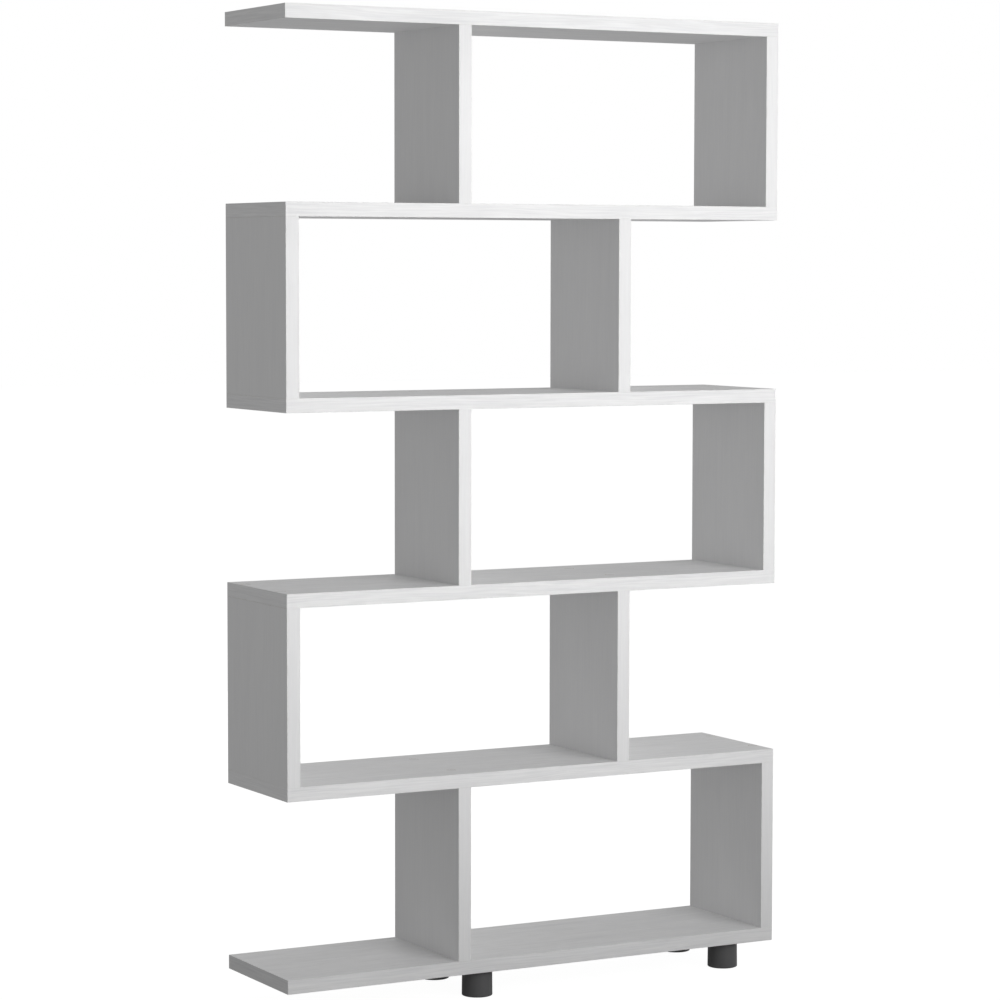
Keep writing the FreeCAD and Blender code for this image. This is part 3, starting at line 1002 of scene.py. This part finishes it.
class SHELVING_OT_feet(ShelvingOperator, Operator):
    """Make the turned feet"""

    bl_idname = "shelving.feet"
    bl_label = "Feet"

    def execute(self, context):
        black = foot_finish("black_moulded_feet", context.scene.shelving_finish)
        sizes = sizes_for(
            context.scene.shelving_fasteners, "foot_", Sides=FOOT_SIDES, Rows=FOOT_ROWS, Material=black
        )
        for place in FOOT_PLACES:
            node = f"{place}_foot"
            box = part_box(node)
            sizes["Diameter"], _, sizes["Height"] = extent_of(box)
            piece = grow(f"{place}_turned_foot", turned_foot, [(base_of(box), UPRIGHT_WAY)], sizes)
            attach(piece, f"{place}_levelling_foot")
            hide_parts(node)
        return {"FINISHED"}


class SHELVING_OT_foot_bolts(ShelvingOperator, Operator):
    """Make the threaded bolts of the feet, and the insert nuts that take them"""

    bl_idname = "shelving.foot_bolts"
    bl_label = "Foot bolts and insert nuts"

    def execute(self, context):
        fasteners = context.scene.shelving_fasteners
        zinc = zinc_finish("zinc_plated_bolts", context.scene.shelving_finish)
        sizes = sizes_for(fasteners, "bolt_", Sides=BOLT_SIDES, Material=zinc)
        for place in FOOT_PLACES:
            node = f"{place}_foot_bolt"
            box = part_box(node)
            sizes["Length"] = extent_of(box).z
            sizes["Rows"] = rows_for(sizes, BOLT_ROWS_PER_TURN)
            piece = grow(f"{place}_threaded_bolt", foot_bolt, [(base_of(box), UPRIGHT_WAY)], sizes)
            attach(piece, f"{place}_levelling_foot")
            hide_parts(node)
        node = "foot_insert_nuts"
        boxes = solids_in(node)
        sizes = sizes_for(fasteners, "insert_", Sides=INSERT_SIDES, Material=zinc)
        sizes["Diameter"], _, sizes["Length"] = extent_of(boxes[0])
        sizes["Rows"] = rows_for(sizes, INSERT_ROWS_PER_TURN)
        places = [(base_of(box), UPRIGHT_WAY) for box in boxes]
        piece = grow("threaded_insert_nuts", insert_nut, places, sizes)
        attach(piece, CARCASS)
        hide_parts(node)
        return {"FINISHED"}


# The heights at which the strip lights aim, how far they open, and the camera's sensor
KEY_AIM = 1.10
KEY_OPENING = math.radians(80)
LOW_AIM = 0.45
LOW_OPENING = math.radians(32)
SENSOR_WIDTH = 36.0
WHITE = (1.0, 1.0, 1.0)


def soft_light(studio, which, width, height, aim_height=MIDDLE.z, opening=math.pi):
    """An area light that looks at the middle of the unit, and stays out of the camera's sight."""
    name = f"{which}_light"
    data = bpy.data.lights.new(name, "AREA")
    data.shape = "RECTANGLE"
    data.size = width
    data.size_y = height
    data.energy = getattr(studio, f"{which}_power")
    data.spread = opening
    light = bpy.data.objects.new(name, data)
    light.location = getattr(studio, f"{which}_place")
    aim = Vector((MIDDLE.x, MIDDLE.y, aim_height)) - light.location
    light.rotation_euler = aim.to_track_quat("-Z", "Y").to_euler()
    light.visible_camera = False
    bpy.context.scene.collection.objects.link(light)
    return light


def studio_world(studio):
    """White behind the object, with an even and weaker light from all round."""
    world = bpy.data.worlds.new("studio")
    tree = bare_tree(world)
    room = add(tree, "ShaderNodeBackground", "Background", {"Color": WHITE, "Strength": studio.room_light})
    backdrop = add(tree, "ShaderNodeBackground", "Background", {"Color": WHITE, "Strength": 1.0})
    seen = add(tree, "ShaderNodeLightPath", "Is Camera Ray")
    both = add(tree, "ShaderNodeMixShader", "Shader", {0: seen, 1: room, 2: backdrop})
    new_node(tree, "ShaderNodeOutputWorld", {"Surface": both})
    return world


def studio_floor(studio):
    """A glowing floor that runs on into the white behind. Its glow lights the object as painted bounce
    light, with painted shade that lights the object less from close by.
    """
    half = studio.floor_size / 2
    mesh = bpy.data.meshes.new("studio_floor")
    corners = [(-half, -half), (half, -half), (half, half), (-half, half)]
    mesh.from_pydata([(*corner, FLOOR_LEVEL) for corner in corners], [], [(0, 1, 2, 3)])
    floor = bpy.data.objects.new("studio_floor", mesh)
    bpy.context.scene.collection.objects.link(floor)
    surface = Surface("pale_floor", Roughness=0.9, Specular_IOR_Level=0.1, Emission_Color=WHITE)
    feed(surface.shader.inputs["Base Color"], studio.floor_white)
    off_side = (from_nearest(surface.place, "X", [MIDDLE.x]) - HALF.x).most(0.0)
    off_front = (from_nearest(surface.place, "Y", [MIDDLE.y]) - HALF.y).most(0.0)
    away = (off_side * off_side + off_front * off_front).root()
    # Painted shade: the glow that lights the unit is dimmer close to it, as the unit's shade on the floor.
    lift = away.spread(0.0, studio.floor_reach, studio.floor_lift * studio.floor_near, studio.floor_lift)
    seen = add(surface.tree, "ShaderNodeLightPath", "Is Camera Ray")
    # The camera sees the even floor glow. Other rays get the painted bounce light with its painted shade.
    glow = lift + seen * (lift * -1.0 + studio.floor_glow)
    feed(surface.shader.inputs["Emission Strength"], glow)
    mesh.materials.append(surface.material)
    return floor


class SHELVING_OT_stage(ShelvingOperator, Operator):
    """Set up the floor, the lights and the camera"""

    bl_idname = "shelving.stage"
    bl_label = "Studio"

    def execute(self, context):
        scene = context.scene
        studio = scene.shelving_studio
        studio_floor(studio)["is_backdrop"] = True
        scene.world = studio_world(studio)
        scene.view_settings.view_transform = "Standard"
        soft_light(studio, "key", studio.front_width, studio.key_height, KEY_AIM, KEY_OPENING)
        soft_light(studio, "low", studio.front_width, studio.low_height, LOW_AIM, LOW_OPENING)
        soft_light(studio, "top", studio.top_size, studio.top_size)
        soft_light(studio, "side", studio.outer_size, studio.outer_size)
        rear = soft_light(studio, "rear", studio.outer_size, studio.outer_size)
        rear.visible_glossy = False
        lens = bpy.data.cameras.new("camera")
        lens.lens = studio.lens
        lens.sensor_width = SENSOR_WIDTH
        camera = bpy.data.objects.new("camera", lens)
        camera.location = studio.camera_place
        camera.rotation_euler = (math.pi / 2 - studio.camera_dip, studio.camera_roll, studio.camera_turn)
        scene.collection.objects.link(camera)
        scene.camera = camera
        return {"FINISHED"}


OPERATORS = (
    SHELVING_OT_boards,
    SHELVING_OT_uprights,
    SHELVING_OT_edge_bands,
    SHELVING_OT_screw_caps,
    SHELVING_OT_connector_screws,
    SHELVING_OT_dowels,
    SHELVING_OT_feet,
    SHELVING_OT_foot_bolts,
    SHELVING_OT_stage,
)


class SHELVING_PT_panel(Panel):
    """The steps that dress the unit, in order"""

    bl_label = "Shelving unit"
    bl_idname = "SHELVING_PT_panel"
    bl_space_type = "VIEW_3D"
    bl_region_type = "UI"
    bl_category = "Shelving"

    def draw(self, context):
        column = self.layout.column(align=True)
        for operator in OPERATORS:
            column.operator(operator.bl_idname)


SETTINGS = {
    "shelving_finish": FinishSettings,
    "shelving_fasteners": FastenerSettings,
    "shelving_studio": StudioSettings,
}


def register():
    for kind in (*SETTINGS.values(), *OPERATORS, SHELVING_PT_panel):
        bpy.utils.register_class(kind)
    for name, kind in SETTINGS.items():
        setattr(bpy.types.Scene, name, PointerProperty(type=kind))


def unregister():
    for name in SETTINGS:
        delattr(bpy.types.Scene, name)
    for kind in (SHELVING_PT_panel, *reversed(OPERATORS), *SETTINGS.values()):
        bpy.utils.unregister_class(kind)


def main():
    register()
    bpy.ops.shelving.boards()
    bpy.ops.shelving.uprights()
    bpy.ops.shelving.edge_bands()
    bpy.ops.shelving.screw_caps()
    bpy.ops.shelving.connector_screws()
    bpy.ops.shelving.dowels()
    bpy.ops.shelving.feet()
    bpy.ops.shelving.foot_bolts()
    bpy.ops.shelving.stage()
    boxes = {"cad": CAD_BOX, "visual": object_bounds()}


if __name__ == "__main__":
    main()
